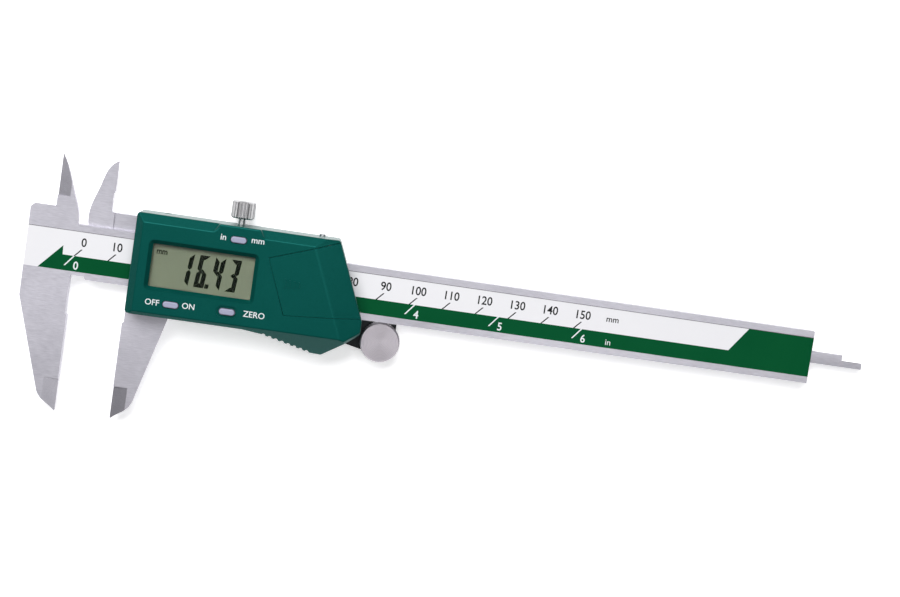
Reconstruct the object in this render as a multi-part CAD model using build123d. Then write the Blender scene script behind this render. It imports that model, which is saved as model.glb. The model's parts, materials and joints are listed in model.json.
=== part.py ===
from build123d import *
import math
import os

# Digital caliper, 150 mm / 6 in. Millimetres.
# Everything is drawn with the fixed outside jaw's measuring face on X = 0, the beam's lower
# guide edge on Y = 0 and the surface that the caliper lies on at Z = 0. The beam runs along +X,
# the inside jaws point to +Y and the display faces +Z. write() moves each piece so that the
# origin of the finished part is in the middle of the fixed outside jaw's measuring face.

# ---- reading and running clearances ----
READING = 16.43            # distance between the outside measuring faces as drawn
SLIDE_GAP = 0.05           # slider to beam, front and back
GUIDE_GAP = 0.03           # slider or gib to the beam's edges
TURN_GAP = 0.05            # a shaft in its hole, all round
PART_GAP = 0.15            # between pieces that are fixed to each other
COVER_GAP = 0.12           # battery cover in its opening

# ---- beam and fixed jaws ----
BEAM_RIGHT = 223.0
BEAM_WIDTH = 16.0
BEAM_THICKNESS = 3.5
FIXED_JAW_WIDTH = 14.4
JAW_DEPTH = 40.0           # outside jaws, below the guide edge
JAW_SHOULDER = 7.0         # where the outer edge of an outside jaw starts to taper
JAW_TIP_WIDTH = 6.0        # width of an outside jaw where its nose starts
JAW_NOSE = 5.7             # length of the nose
FACE_START = 11.3          # measuring faces start this far below the guide edge
FACE_RELIEF = 0.5
TIP_BEVEL_LENGTH = 9.7     # the thinned end of the outside measuring faces
TIP_BEVEL_WIDTH = 4.2
TIP_EDGE = 1.2             # thickness left at the thinned end
ROOT_NOTCH = 0.9
ROOT_NOTCH_LENGTH = 4.0
SHOULDER_HEIGHT = 4.5      # fixed head above the beam
INSIDE_EDGE = -7.05        # measuring edge of the fixed inside jaw
INSIDE_HEIGHT = 20.2       # inside jaws, above the beam
INSIDE_BEVEL_START = 7.8
INSIDE_BEVEL_WIDTH = 3.7
FIXED_INSIDE_ROOT = 6.8    # width of the fixed inside jaw at the beam
FIXED_INSIDE_CURVE = ((2.9, 14.4), (4.55, 9.6), (6.3, 4.9))      # from its edge, above the beam
MOVING_INSIDE_ROOT = 6.65
MOVING_INSIDE_CURVE = ((6.7, 5.3), (4.5, 12.4), (2.4, 18.1))     # from its edge, above the beam
MOVING_EDGE_START = 11.4   # lower end of its measuring edge above the beam
MOVING_RELIEF = 0.45       # below that the edge steps back by this much
MOVING_RELIEF_TOP = 10.3
BLADE_ROOT_INSET = 0.1
HEAD_STEP = 0.55           # small step beside the root of the fixed inside jaw
HEAD_STEP_RISE = 0.35
BLADE_EDGE = 0.15          # thickness left on the inside measuring edges
BLADE_GAP = 0.05           # each inside blade stops this far from the beam's middle plane

# ---- scale in the front of the beam, depth bar in its back ----
SCALE_LOW = 2.0
SCALE_TOP_LAND = 1.95
SCALE_GROOVE_DEPTH = 1.0
SCALE_BOARD_THICKNESS = 0.8
SCALE_LABEL_THICKNESS = 0.14
DEPTH_BAR_WIDTH = 3.6
DEPTH_BAR_THICKNESS = 1.5
DEPTH_GROOVE_DEPTH = 1.8
DEPTH_GROOVE_START = 3.0
DEPTH_BAR_START = 21.0
DEPTH_PIN_RADIUS = 0.6
DEPTH_PIN_PLACES = (24.0, 31.0)
ANCHOR_PAD = 0.12
DEPTH_TIP_LENGTH = 6.3
DEPTH_TIP_WIDTH = 1.8
GUIDE_PLATE_LENGTH = 4.0
GUIDE_PLATE_THICKNESS = 0.8
GUIDE_SCREW_RADIUS = 0.6
GUIDE_SCREW_HEAD = 1.1

# ---- slider frame ----
FRAME_WALL = 2.2
FRAME_RIGHT = 81.0
LOWER_RAIL = 5.2
UPPER_RAIL = 4.8           # top of the upper rail above the beam
RAIL_CLEAR = 0.1           # the rails' front face stands this far in front of the beam
BRIDGE_WIDTH = 3.0
BRIDGE_THICKNESS = 1.0
BRIDGE_OVERLAP = 1.5       # how far a bridge reaches onto each rail
GIB_THICKNESS = 0.95
GIB_POCKET = 1.1
GIB_END = 1.1
RAIL_NOSE = 10.4           # left end of the rail that carries the inside blade
UNDERCUT = 0.5
UNDERCUT_DEPTH = 0.8
OUTER_JAW_WIDTH = 13.4     # moving outside jaw at its shoulder
BACK_RECESS = 0.35
REAR_LABEL_THICKNESS = 0.25
REAR_LABEL_MARGIN = 4.2

# ---- screws ----
GIB_SCREW_RADIUS = 1.0
GIB_SCREW_PLACES = ((25.5, 5.9), (71.5, 7.5))    # x, top above the beam
SCREW_SLOT = 0.4
LOCK_X = 47.3
LOCK_SHANK_RADIUS = 1.25
LOCK_KNOB_RADIUS = 3.5
LOCK_KNOB_HEIGHT = 5.3
LOCK_KNOB_START = 8.6      # underside of the knob above the beam
LOCK_FLUTES = 26
LOCK_PAD_THICKNESS = 0.8
LOCK_PAD_GAP = 0.22        # free play of the pad above the gib
FACE_GAP = 0.02
SMALL_SCREW_RADIUS = 0.8
SMALL_HEAD_RADIUS = 1.45
SMALL_HEAD_HEIGHT = 0.9
HOUSING_SCREW_PLACES = ((36.0, 1), (58.5, 1), (38.5, 0), (72.0, 0))    # x, 1 on the upper rail
BOARD_SCREW_PLACES = ((28.5, 1), (65.5, 1), (25.2, 0), (61.5, 0))
BOARD_SCREW_RADIUS = 0.6
BOARD_HEAD_RADIUS = 1.1
BOARD_HEAD_HEIGHT = 0.6
LOWER_SCREW_LINE = 2.7     # below the guide edge
UPPER_SCREW_LINE = 3.0     # above the beam
SCREW_BITE = 4.5

# ---- thumb roller ----
ROLLER_RADIUS = 6.0
ROLLER_THICKNESS = 3.8
ROLLER_BEYOND = 6.3        # its centre is this far right of the housing
ROLLER_FLUTES = 48
ROLLER_CLEAR = 0.3
ROLLER_SHAFT_RADIUS = 1.25
BRACKET_THICKNESS = 1.2
BRACKET_BACK = 0.9
BRACKET_LEFT = 75.4
BRACKET_END_RADIUS = 4.4
BRACKET_TOP = 0.4
CLIP_THICKNESS = 0.4
CLIP_RADIUS = 2.5
CLIP_GROOVE = 0.3
BRACKET_WAIST = 1.5
BRACKET_SCREW_PLACES = (77.1, 79.7)
BRACKET_SCREW_RADIUS = 0.5
BRACKET_HEAD_RADIUS = 1.05

# ---- housing ----
HOUSING_LEFT = 17.4
HOUSING_RIGHT = 86.6
LOWER_ROOM = 0.2           # inside of the housing's lower wall to the lower rail
UPPER_ROOM = 0.5           # inside of its upper wall to the upper rail
HOUSING_BACK = 1.2
HOUSING_HEIGHT = 9.35      # front face in front of the rails
WALL = 1.6
FRONT_WALL = 1.5
TOP_RIGHT_IN = 9.6         # the right edge leans in by this much at the top
RIGHT_LOW = -0.1           # lower end of the leaning right edge
RIGHT_LOWER = -4.0
TOE_X = 76.0
TOE_DROP = 4.8             # toe of the finger rest below the lower wall
TOE_RISE = 0.15            # the toe's left end is this much higher than its tip
GRIP_LEFT = 57.5
GRIP_RIGHT = 72.6
GRIP_START_X = 52.0
GRIP_TEETH = 8
GRIP_GROOVE = 0.62
GRIP_GROOVE_OUT = 0.1      # groove centres lie this far outside the wall
GRIP_START_DROP = 0.65     # the grip starts this far below the lower wall
SIDE_CHAMFER = 2.3
SIDE_CHAMFER_DROP = 1.9
TOP_CHAMFER = 2.7
TOP_CHAMFER_DROP = 1.7
BOTTOM_CHAMFER = 1.1
BOTTOM_CHAMFER_DROP = 1.1
LOCK_FLAT = 11.0           # length of the flat at the lock screw
FLAT_RAMP = 1.9
SLOPE_WIDTH = 7.6
SLOPE_DROP = 3.2
TOE_BEVEL_WIDTH = 3.6
TOE_BEVEL_DROP = 6.0
RIDGE_FILLET = 0.6
SLOPE_FILLET = 2.0          # ridge between the front and the broad slope
SLOPE_RIDGE_LEAST = 20.0    # no other leaning ridge is as long as this
HOUSING_CORNER = 1.0
UPRIGHT_LEAST = 5.0         # the corner edges along Z are longer than this
RIDGE_DEPTH = 6.7           # the other rounded ridges lie this near the front
RIDGE_REACH = 4.2           # and reach up to this near it
CORNER_RADIUS = 1.1
BOSS_RADIUS = 1.75
JAW_WINDOW_CLEAR = 0.2

# ---- display, buttons, board ----
WINDOW_LEFT = 23.25
WINDOW_LOW = 1.85
WINDOW_WIDTH = 29.9
WINDOW_HEIGHT = 12.6
WINDOW_BEVEL = 1.15
WINDOW_BEVEL_DROP = 1.05
WINDOW_CORNER = 0.5
LENS_MARGIN = 0.7
LENS_THICKNESS = 0.95
GASKET_THICKNESS = 0.2
GASKET_WIDTH = 0.6
GLASS_MARGIN = 1.1
GLASS_THICKNESS = 1.5
REFLECTOR_THICKNESS = 0.15
REFLECTOR_INSET = 2.2
CARRIER_MARGIN = 1.9
CARRIER_HOLLOW_INSET = 3.2
CARRIER_FLOOR = 1.0
ZEBRA_WIDTH = 1.3
ZEBRA_INSET = 0.4
BOARD_THICKNESS = 1.0
BOARD_END_GAP = 0.3
BOARD_EDGE_GAP = 0.4
BUTTON_LENGTH = 4.6
BUTTON_WIDTH = 1.8
BUTTON_PROUD = 0.45
BUTTON_TRAVEL = 0.5
BUTTON_GAP = 0.2
BUTTON_FLANGE = 0.4
BUTTON_FLANGE_THICKNESS = 0.7
BUTTON_STEM_RADIUS = 0.85
UNIT_BUTTON_X = 47.6
UNIT_BUTTON_DROP = 3.95    # below the housing's upper edge
POWER_BUTTON = (30.6, -2.7)
ZERO_BUTTON = (47.05, -2.4)
ZERO_RECESS = 0.85
ZERO_RECESS_DEPTH = 0.5
DOME_RADIUS = 1.9
DOME_HEIGHT = 0.3
CHIP_RADIUS = 4.0
CHIP_HEIGHT = 1.3
CHIP_FILLET = 1.1
CRYSTAL_RADIUS = 0.8
CRYSTAL_LENGTH = 5.2
CRYSTAL_PLACE = 0.76       # along the display, from its left end
CAPACITOR_SIZE = (1.0, 1.8, 0.8)
CAPACITOR_PITCH = 2.6
CAPACITOR_PLACE = 0.2      # along the display, from its left end

# ---- battery and its cover ----
BATTERY_RADIUS = 5.8
BATTERY_THICKNESS = 5.4
BATTERY_RIM = 0.8
BATTERY_X = 66.9
BATTERY_Y = 8.6
HOLDER_WALL = 1.2
HOLDER_HEIGHT = 4.0
CONTACT_THICKNESS = 0.3
CONTACT_RISE = 0.5
CONTACT_WIDTH = 4.0
COVER_TOP_LEFT = (57.0, 15.0)
COVER_LOW_LEFT = (63.5, -1.0)
COVER_TOP_SLOPE = 19.6     # degrees
COVER_LOW_SLOPE = 4.6
COVER_LIP = 1.6            # how far the cover wraps down the right wall
COVER_TONGUE = 2.0         # how far the tongue reaches under the housing
TONGUE_ROOT = (1.6, 3.6)   # the part of the tongue joined to the cover, from its left edge
COVER_TONGUE_WIDTH = 6.0
COVER_TONGUE_THICKNESS = 0.8
COVER_RIBS = 4
COVER_RIB_PITCH = 1.35
COVER_RIB = (0.55, 2.6, 0.35)
COVER_RIB_START = (62.6, 8.4)
COVER_RIB_TAPER = 0.3      # each rib is this much shorter than the one before

# ---- levels and lines that follow from the sizes above ----
BEAM_LEFT = -FIXED_JAW_WIDTH
BEAM_BACK = FRAME_WALL + SLIDE_GAP
BEAM_FRONT = BEAM_BACK + BEAM_THICKNESS
BEAM_MIDDLE = (BEAM_BACK + BEAM_FRONT) / 2
RAIL_FRONT = BEAM_FRONT + RAIL_CLEAR
SCALE_HIGH = BEAM_WIDTH - SCALE_TOP_LAND
BAR_Y = BEAM_WIDTH / 2
ROLLER_X = HOUSING_RIGHT + ROLLER_BEYOND
BAR_BACK = FRAME_WALL + ANCHOR_PAD
BAR_RIGHT = BEAM_RIGHT + READING
FRAME_LEFT = READING + FACE_RELIEF
FRAME_TOP = BEAM_WIDTH + UPPER_RAIL
FRAME_LOW = -LOWER_RAIL
BOARD_BACK = RAIL_FRONT
BOARD_FRONT = BOARD_BACK + BOARD_THICKNESS
HOUSING_FRONT = RAIL_FRONT + HOUSING_HEIGHT
HOUSING_TOP = FRAME_TOP + UPPER_ROOM + WALL
HOUSING_LOW = FRAME_LOW - LOWER_ROOM - WALL
FRONT_INSIDE = HOUSING_FRONT - FRONT_WALL
LENS_BACK = FRONT_INSIDE - LENS_THICKNESS
GLASS_FRONT = LENS_BACK - GASKET_THICKNESS
GLASS_BACK = GLASS_FRONT - GLASS_THICKNESS
LOCK_Z = BEAM_MIDDLE
UPPER_SCREW_Y = BEAM_WIDTH + UPPER_SCREW_LINE
LOWER_SCREW_Y = -LOWER_SCREW_LINE
ROLLER_Y = -(ROLLER_RADIUS + TURN_GAP)
BRACKET_FRONT = BRACKET_BACK + BRACKET_THICKNESS
ROLLER_BACK = BRACKET_FRONT + ROLLER_CLEAR
BATTERY_BACK = BOARD_FRONT + CONTACT_RISE
UNIT_BUTTON = (UNIT_BUTTON_X, HOUSING_TOP - UNIT_BUTTON_DROP)
RIGHT_LEAN = math.atan2(TOP_RIGHT_IN, HOUSING_TOP - RIGHT_LOW)
BRIDGE_LEFT_X = HOUSING_LEFT + WALL + PART_GAP
BRIDGE_TOP = BEAM_WIDTH + BRIDGE_OVERLAP
DATUM = (0, -(FACE_START + JAW_DEPTH) / 2, BEAM_MIDDLE)
FAR = 300.0                # longer than any piece


def leaning_wall_x(y):
    """Where the room inside the housing ends on the right at height y."""
    return HOUSING_RIGHT - (y - RIGHT_LOW) * math.tan(RIGHT_LEAN) - (WALL + PART_GAP) / math.cos(RIGHT_LEAN)


BRIDGE_RIGHT_X = leaning_wall_x(BRIDGE_TOP) - BRIDGE_WIDTH
UPPER_RAIL_RIGHT = leaning_wall_x(FRAME_TOP)
BOARD_LEFT = BRIDGE_LEFT_X + BRIDGE_WIDTH + BOARD_END_GAP
BOARD_RIGHT = BRIDGE_RIGHT_X - BOARD_END_GAP


# ---- helpers ----
def block(x0, x1, y0, y1, z0, z1):
    """A box between two corners."""
    return Pos((x0 + x1) / 2, (y0 + y1) / 2, (z0 + z1) / 2) * Box(x1 - x0, y1 - y0, z1 - z0)


def rod(x, y, z0, z1, radius):
    """A cylinder along Z."""
    return Pos(x, y, (z0 + z1) / 2) * Cylinder(radius, z1 - z0)


def rod_y(x, z, y0, y1, radius):
    """A cylinder along Y."""
    return Pos(x, (y0 + y1) / 2, z) * Rot(90, 0, 0) * Cylinder(radius, y1 - y0)


def plate(lines, z0, z1):
    """The face inside a closed run of lines, extruded from z0 to z1."""
    return extrude(Pos(0, 0, z0) * make_face(lines), z1 - z0)


def polygon(points, z0, z1):
    return plate(Polyline(*points, close=True), z0, z1)


def pill(centre, length, width, z0, z1):
    """A slot-shaped block with round ends, long along X."""
    return Pos(centre[0], centre[1], z0) * extrude(SlotOverall(length, width), z1 - z0)


def outside(point, normal):
    """Everything on the outer side of a plane."""
    return Plane(origin=point, z_dir=normal) * Pos(0, 0, FAR / 2) * Box(FAR, FAR, FAR)


def together(pieces):
    """Several pieces as one shape."""
    whole = pieces[0]
    for piece in pieces[1:]:
        whole = whole + piece
    return whole


def write(node, shape):
    export_step(Pos(-DATUM[0], -DATUM[1], -DATUM[2]) * shape, f"parts/{node}.step")


# ---- beam ----
def jaw_outline(face_x, side, shoulder_width, root_y, root_x):
    """An outside jaw's outline: measuring face at face_x, body on the given side of it."""
    nose_y = -JAW_DEPTH + JAW_NOSE
    nose_x = face_x + side * JAW_TIP_WIDTH
    shoulder_x = face_x + side * shoulder_width
    tip = (face_x + side * 0.35, -JAW_DEPTH)
    taper = (nose_x - shoulder_x, nose_y + JAW_SHOULDER)
    nose = Spline((nose_x, nose_y), tip, tangents=(taper, (-side * 1.0, -1.1)))
    upper = Polyline(
        tip,
        (face_x, -JAW_DEPTH),
        (face_x, -FACE_START),
        (face_x + side * FACE_RELIEF, -FACE_START + FACE_RELIEF),
        (face_x + side * FACE_RELIEF, root_y),
        (root_x, root_y),
        (shoulder_x, root_y),
        (shoulder_x, -JAW_SHOULDER),
        (nose_x, nose_y),
    )
    return nose + upper


def tip_bevels(face_x, side):
    """Cutters that thin both faces of an outside jaw at the end of its measuring face."""
    start_y = -JAW_DEPTH + TIP_BEVEL_LENGTH
    drop = (BEAM_THICKNESS - TIP_EDGE) / 2
    ridge_x = face_x + side * TIP_BEVEL_WIDTH
    far_x = face_x - side * TIP_BEVEL_WIDTH
    cutters = []
    for level, way in ((BEAM_FRONT, 1), (BEAM_BACK, -1)):
        triangle = Polyline(
            (ridge_x, level),
            (far_x, level - way * 2 * drop),
            (far_x, level + way * drop),
            (ridge_x, level + way * drop),
            close=True,
        )
        section = Plane(origin=(0, start_y, 0), x_dir=(1, 0, 0), z_dir=(0, -1, 0))
        cutters.append(extrude(section * make_face(triangle), TIP_BEVEL_LENGTH * 2))
    return together(cutters)


def beam():
    jaw = plate(jaw_outline(0, -1, FIXED_JAW_WIDTH, 1.5, -2.0), BEAM_BACK, BEAM_FRONT)
    jaw = jaw - tip_bevels(0, -1)
    bar = block(BEAM_LEFT, BEAM_RIGHT, 0, BEAM_WIDTH, BEAM_BACK, BEAM_FRONT)
    notch = polygon(
        [
            (-FACE_RELIEF, -1),
            (-FACE_RELIEF, ROOT_NOTCH),
            (ROOT_NOTCH_LENGTH - FACE_RELIEF, ROOT_NOTCH),
            (ROOT_NOTCH_LENGTH, 0),
            (ROOT_NOTCH_LENGTH + 1, -1),
        ],
        BEAM_BACK - 1,
        BEAM_FRONT + 1,
    )
    shape = jaw + bar - notch
    shape = shape + fixed_head()
    groove = block(BEAM_LEFT - 1, BEAM_RIGHT + 1, SCALE_LOW, SCALE_HIGH, BEAM_FRONT - SCALE_GROOVE_DEPTH,
                   BEAM_FRONT + 1)
    slot_low = BAR_Y - DEPTH_BAR_WIDTH / 2 - TURN_GAP
    slot_high = BAR_Y + DEPTH_BAR_WIDTH / 2 + TURN_GAP
    slot = block(DEPTH_GROOVE_START, BEAM_RIGHT + 1, slot_low, slot_high, BEAM_BACK - 1,
                 BEAM_BACK + DEPTH_GROOVE_DEPTH)
    shape = shape - groove - slot
    for x, y in guide_screw_places():
        shape = shape - rod(x, y, BEAM_BACK - 1, BEAM_BACK + DEPTH_GROOVE_DEPTH, GUIDE_SCREW_RADIUS)
    return shape


def fixed_head():
    """The shoulder and the inside jaw of the fixed head, in the front half of the beam."""
    top = BEAM_WIDTH + SHOULDER_HEIGHT
    tip_y = BEAM_WIDTH + INSIDE_HEIGHT
    edge = INSIDE_EDGE
    curve = Spline(
        (edge, tip_y),
        *[(edge + x, BEAM_WIDTH + y) for x, y in FIXED_INSIDE_CURVE],
        (edge + FIXED_INSIDE_ROOT, BEAM_WIDTH - 1),
    )
    rest = Polyline(
        (edge + FIXED_INSIDE_ROOT, BEAM_WIDTH - 1),
        (BEAM_LEFT, BEAM_WIDTH - 1),
        (BEAM_LEFT, top - CORNER_RADIUS),
        (BEAM_LEFT + CORNER_RADIUS, top),
        (edge - HEAD_STEP, top),
        (edge - HEAD_STEP, top - HEAD_STEP_RISE),
        (edge, top + HEAD_STEP_RISE),
        (edge, tip_y),
    )
    low = BEAM_MIDDLE + BLADE_GAP
    shape = plate(curve + rest, low, BEAM_FRONT)
    return shape - inside_bevel(edge, 1, low + BLADE_EDGE, BEAM_FRONT, 1)


def inside_bevel(edge_x, side, edge_z, face_z, way):
    """Cutter for the knife bevel of an inside jaw, whose body is on the given side."""
    ridge_x = edge_x + side * INSIDE_BEVEL_WIDTH
    far_x = edge_x - side * INSIDE_BEVEL_WIDTH
    section = Polyline(
        (-ridge_x, face_z),
        (-far_x, 2 * edge_z - face_z),
        (-far_x, face_z + way),
        (-ridge_x, face_z + way),
        close=True,
    )
    start = Plane(origin=(0, BEAM_WIDTH + INSIDE_BEVEL_START, 0), x_dir=(-1, 0, 0), z_dir=(0, 1, 0))
    return extrude(start * make_face(section), INSIDE_HEIGHT)


def guide_screw_places():
    x = BEAM_RIGHT - GUIDE_PLATE_LENGTH / 2
    reach = (BEAM_WIDTH + DEPTH_BAR_WIDTH) / 4
    return [(x, BAR_Y - reach), (x, BAR_Y + reach)]


def scale_board():
    back = BEAM_FRONT - SCALE_GROOVE_DEPTH
    return block(BEAM_LEFT, BEAM_RIGHT, SCALE_LOW, SCALE_HIGH, back, back + SCALE_BOARD_THICKNESS)


def scale_label():
    back = BEAM_FRONT - SCALE_GROOVE_DEPTH + SCALE_BOARD_THICKNESS
    return block(BEAM_LEFT, BEAM_RIGHT, SCALE_LOW, SCALE_HIGH, back, back + SCALE_LABEL_THICKNESS)


def depth_guide_plate():
    shape = block(BEAM_RIGHT - GUIDE_PLATE_LENGTH, BEAM_RIGHT, 1.2, BEAM_WIDTH - 1.2,
                  BEAM_BACK - GUIDE_PLATE_THICKNESS, BEAM_BACK)
    for x, y in guide_screw_places():
        shape = shape - rod(x, y, 0, BEAM_BACK, GUIDE_SCREW_RADIUS)
    return shape


def slotted_head(x, y, z0, z1, radius, faces_down=True):
    """A round screw head with a driver slot in the end that faces away from the work."""
    head = rod(x, y, z0, z1, radius)
    depth = (z1 - z0) * 0.45
    slot = block(x - radius - 1, x + radius + 1, y - SCREW_SLOT / 2, y + SCREW_SLOT / 2, z0 - 1, z0 + depth)
    if not faces_down:
        slot = Pos(0, 0, z1 - z0 - depth + 1) * slot
    return head - slot


def depth_guide_screws():
    low = BEAM_BACK - GUIDE_PLATE_THICKNESS
    return together([
        slotted_head(x, y, low - 0.5, low, GUIDE_SCREW_HEAD)
        + rod(x, y, low, BEAM_BACK + DEPTH_GROOVE_DEPTH - 0.2, GUIDE_SCREW_RADIUS)
        for x, y in guide_screw_places()
    ])


# ---- slider frame and what rides in it ----
def slider_frame():
    back = block(FRAME_LEFT, FRAME_RIGHT, FRAME_LOW, FRAME_TOP, 0, FRAME_WALL)
    lower = block(FRAME_LEFT, FRAME_RIGHT, FRAME_LOW, -GUIDE_GAP, 0, RAIL_FRONT)
    upper = block(FRAME_LEFT, FRAME_RIGHT, BEAM_WIDTH + GUIDE_GAP, FRAME_TOP, 0, RAIL_FRONT)
    gib_room = block(FRAME_LEFT + GIB_END, UPPER_RAIL_RIGHT - GIB_END, BEAM_WIDTH - 1,
                     BEAM_WIDTH + GIB_POCKET, FRAME_WALL, RAIL_FRONT + 1)
    nose = block(RAIL_NOSE, FRAME_LEFT + 1, BEAM_WIDTH + GUIDE_GAP, FRAME_TOP, 0, BEAM_MIDDLE - BLADE_GAP)
    shape = back + lower + (upper - gib_room) + nose
    shape = shape - outside((leaning_wall_x(0), 0, 0), (math.cos(RIGHT_LEAN), math.sin(RIGHT_LEAN), 0))
    for x0 in (BRIDGE_LEFT_X, BRIDGE_RIGHT_X):
        shape = shape + block(x0, x0 + BRIDGE_WIDTH, -BRIDGE_OVERLAP, BRIDGE_TOP, RAIL_FRONT,
                              RAIL_FRONT + BRIDGE_THICKNESS)
    jaw = plate(jaw_outline(READING, 1, OUTER_JAW_WIDTH, -LOWER_RAIL + 1.0, READING + 3.0),
                BEAM_BACK, BEAM_FRONT)
    shape = shape + (jaw - tip_bevels(READING, 1)) + moving_blade()
    shape = shape + block(DEPTH_BAR_START - 1, DEPTH_PIN_PLACES[1] + 3, BAR_Y - DEPTH_BAR_WIDTH / 2,
                          BAR_Y + DEPTH_BAR_WIDTH / 2, FRAME_WALL, BAR_BACK)
    undercut = block(RAIL_NOSE - UNDERCUT, RAIL_NOSE, BEAM_WIDTH - 1, FRAME_TOP + 1,
                     BEAM_MIDDLE - BLADE_GAP - UNDERCUT_DEPTH, BEAM_FRONT)
    recess = block(FRAME_LEFT + REAR_LABEL_MARGIN, FRAME_RIGHT - REAR_LABEL_MARGIN * 2, 0.8,
                   BEAM_WIDTH - 0.3, -1, BACK_RECESS)
    shape = shape - undercut - recess
    return shape - frame_holes()


def moving_blade():
    """The moving inside jaw, in the rear half of the beam's thickness."""
    edge = INSIDE_EDGE + READING
    tip_y = BEAM_WIDTH + INSIDE_HEIGHT
    curve = Spline(
        (edge - MOVING_INSIDE_ROOT, BEAM_WIDTH + GUIDE_GAP),
        *[(edge - x, BEAM_WIDTH + y) for x, y in MOVING_INSIDE_CURVE],
        (edge, tip_y),
    )
    rest = Polyline(
        (edge, tip_y),
        (edge, BEAM_WIDTH + MOVING_EDGE_START),
        (edge - MOVING_RELIEF, BEAM_WIDTH + MOVING_RELIEF_TOP),
        (edge - MOVING_RELIEF, FRAME_TOP + MOVING_RELIEF),
        (edge - BLADE_ROOT_INSET, FRAME_TOP),
        (RAIL_NOSE + BLADE_ROOT_INSET, FRAME_TOP),
        (RAIL_NOSE + BLADE_ROOT_INSET, BEAM_WIDTH + GUIDE_GAP),
        (edge - MOVING_INSIDE_ROOT, BEAM_WIDTH + GUIDE_GAP),
    )
    high = BEAM_MIDDLE - BLADE_GAP
    shape = plate(curve + rest, BEAM_BACK, high)
    return shape - inside_bevel(edge, -1, high - BLADE_EDGE, BEAM_BACK, -1)


def frame_holes():
    """Every hole and pocket cut in the slider frame."""
    cuts = []
    for x, upper in HOUSING_SCREW_PLACES:
        y = UPPER_SCREW_Y if upper else LOWER_SCREW_Y
        cuts.append(rod(x, y, -1, RAIL_FRONT + 1, SMALL_SCREW_RADIUS))
        cuts.append(rod(x, y, -1, SMALL_HEAD_HEIGHT, SMALL_HEAD_RADIUS + PART_GAP))
    for x, upper in BOARD_SCREW_PLACES:
        y = UPPER_SCREW_Y if upper else LOWER_SCREW_Y
        cuts.append(rod(x, y, RAIL_FRONT - 2.5, RAIL_FRONT + 1, BOARD_SCREW_RADIUS))
    for x in DEPTH_PIN_PLACES:
        cuts.append(rod(x, BAR_Y, BACK_RECESS, FRAME_WALL + 1, DEPTH_PIN_RADIUS))
    for x, top in GIB_SCREW_PLACES:
        cuts.append(rod_y(x, LOCK_Z, BEAM_WIDTH + GIB_POCKET - 1, FRAME_TOP + 1, GIB_SCREW_RADIUS))
    cuts.append(rod_y(LOCK_X, LOCK_Z, BEAM_WIDTH + GIB_POCKET - 1, FRAME_TOP + 1,
                      LOCK_SHANK_RADIUS + TURN_GAP))
    cuts.append(block(BRACKET_LEFT, FRAME_RIGHT + 1, FRAME_LOW - 1, -BRACKET_TOP, -1, BRACKET_FRONT))
    for x in BRACKET_SCREW_PLACES:
        cuts.append(rod(x, LOWER_SCREW_Y, 0, BRACKET_FRONT + 2.0, BRACKET_SCREW_RADIUS))
    return together(cuts)


def gib_strip():
    left = FRAME_LEFT + GIB_END + PART_GAP
    right = UPPER_RAIL_RIGHT - GIB_END - PART_GAP
    low = BEAM_WIDTH + GUIDE_GAP
    return block(left, right, low, low + GIB_THICKNESS, FRAME_WALL + PART_GAP, BEAM_FRONT)


def gib_screws():
    low = BEAM_WIDTH + GUIDE_GAP + GIB_THICKNESS
    screws = []
    for x, top in GIB_SCREW_PLACES:
        high = BEAM_WIDTH + top
        slot = block(x - 2, x + 2, high - 0.5, high + 1, LOCK_Z - SCREW_SLOT / 2, LOCK_Z + SCREW_SLOT / 2)
        screws.append(rod_y(x, LOCK_Z, low, high, GIB_SCREW_RADIUS) - slot)
    return together(screws)


def depth_bar():
    low = BAR_Y - DEPTH_BAR_WIDTH / 2
    shape = block(DEPTH_BAR_START, BAR_RIGHT, low, low + DEPTH_BAR_WIDTH, BAR_BACK,
                  BAR_BACK + DEPTH_BAR_THICKNESS)
    shape = shape - block(BAR_RIGHT - DEPTH_TIP_LENGTH, BAR_RIGHT + 1, low + DEPTH_TIP_WIDTH,
                          low + DEPTH_BAR_WIDTH + 1, BAR_BACK - 1, BAR_BACK + DEPTH_BAR_THICKNESS + 1)
    for x in DEPTH_PIN_PLACES:
        shape = shape - rod(x, BAR_Y, BAR_BACK - 1, BAR_BACK + DEPTH_BAR_THICKNESS + 1, DEPTH_PIN_RADIUS)
    return shape


def depth_bar_pins():
    return together([
        rod(x, BAR_Y, BACK_RECESS, BAR_BACK + DEPTH_BAR_THICKNESS, DEPTH_PIN_RADIUS)
        for x in DEPTH_PIN_PLACES
    ])


def rear_label():
    return block(FRAME_LEFT + REAR_LABEL_MARGIN + PART_GAP, FRAME_RIGHT - REAR_LABEL_MARGIN * 2 - PART_GAP,
                 0.8 + PART_GAP, BEAM_WIDTH - 0.3 - PART_GAP, BACK_RECESS - REAR_LABEL_THICKNESS, BACK_RECESS)


# ---- lock screw ----
def fluted(radius, height, flutes, depth):
    """A knob along Z with its foot on Z = 0, chamfered ends and straight flutes round its rim."""
    knob = Pos(0, 0, height / 2) * Cylinder(radius, height)
    knob = chamfer(knob.edges().filter_by(GeomType.CIRCLE), 0.45)
    cutters = [
        Rot(0, 0, 360 / flutes * index) * Pos(radius + depth * 0.4, 0, height / 2)
        * Rot(0, 0, 45) * Box(depth * 2, depth * 2, height + 2)
        for index in range(flutes)
    ]
    return knob - together(cutters)


def lock_foot():
    return BEAM_WIDTH + GUIDE_GAP + GIB_THICKNESS + LOCK_PAD_GAP


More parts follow.
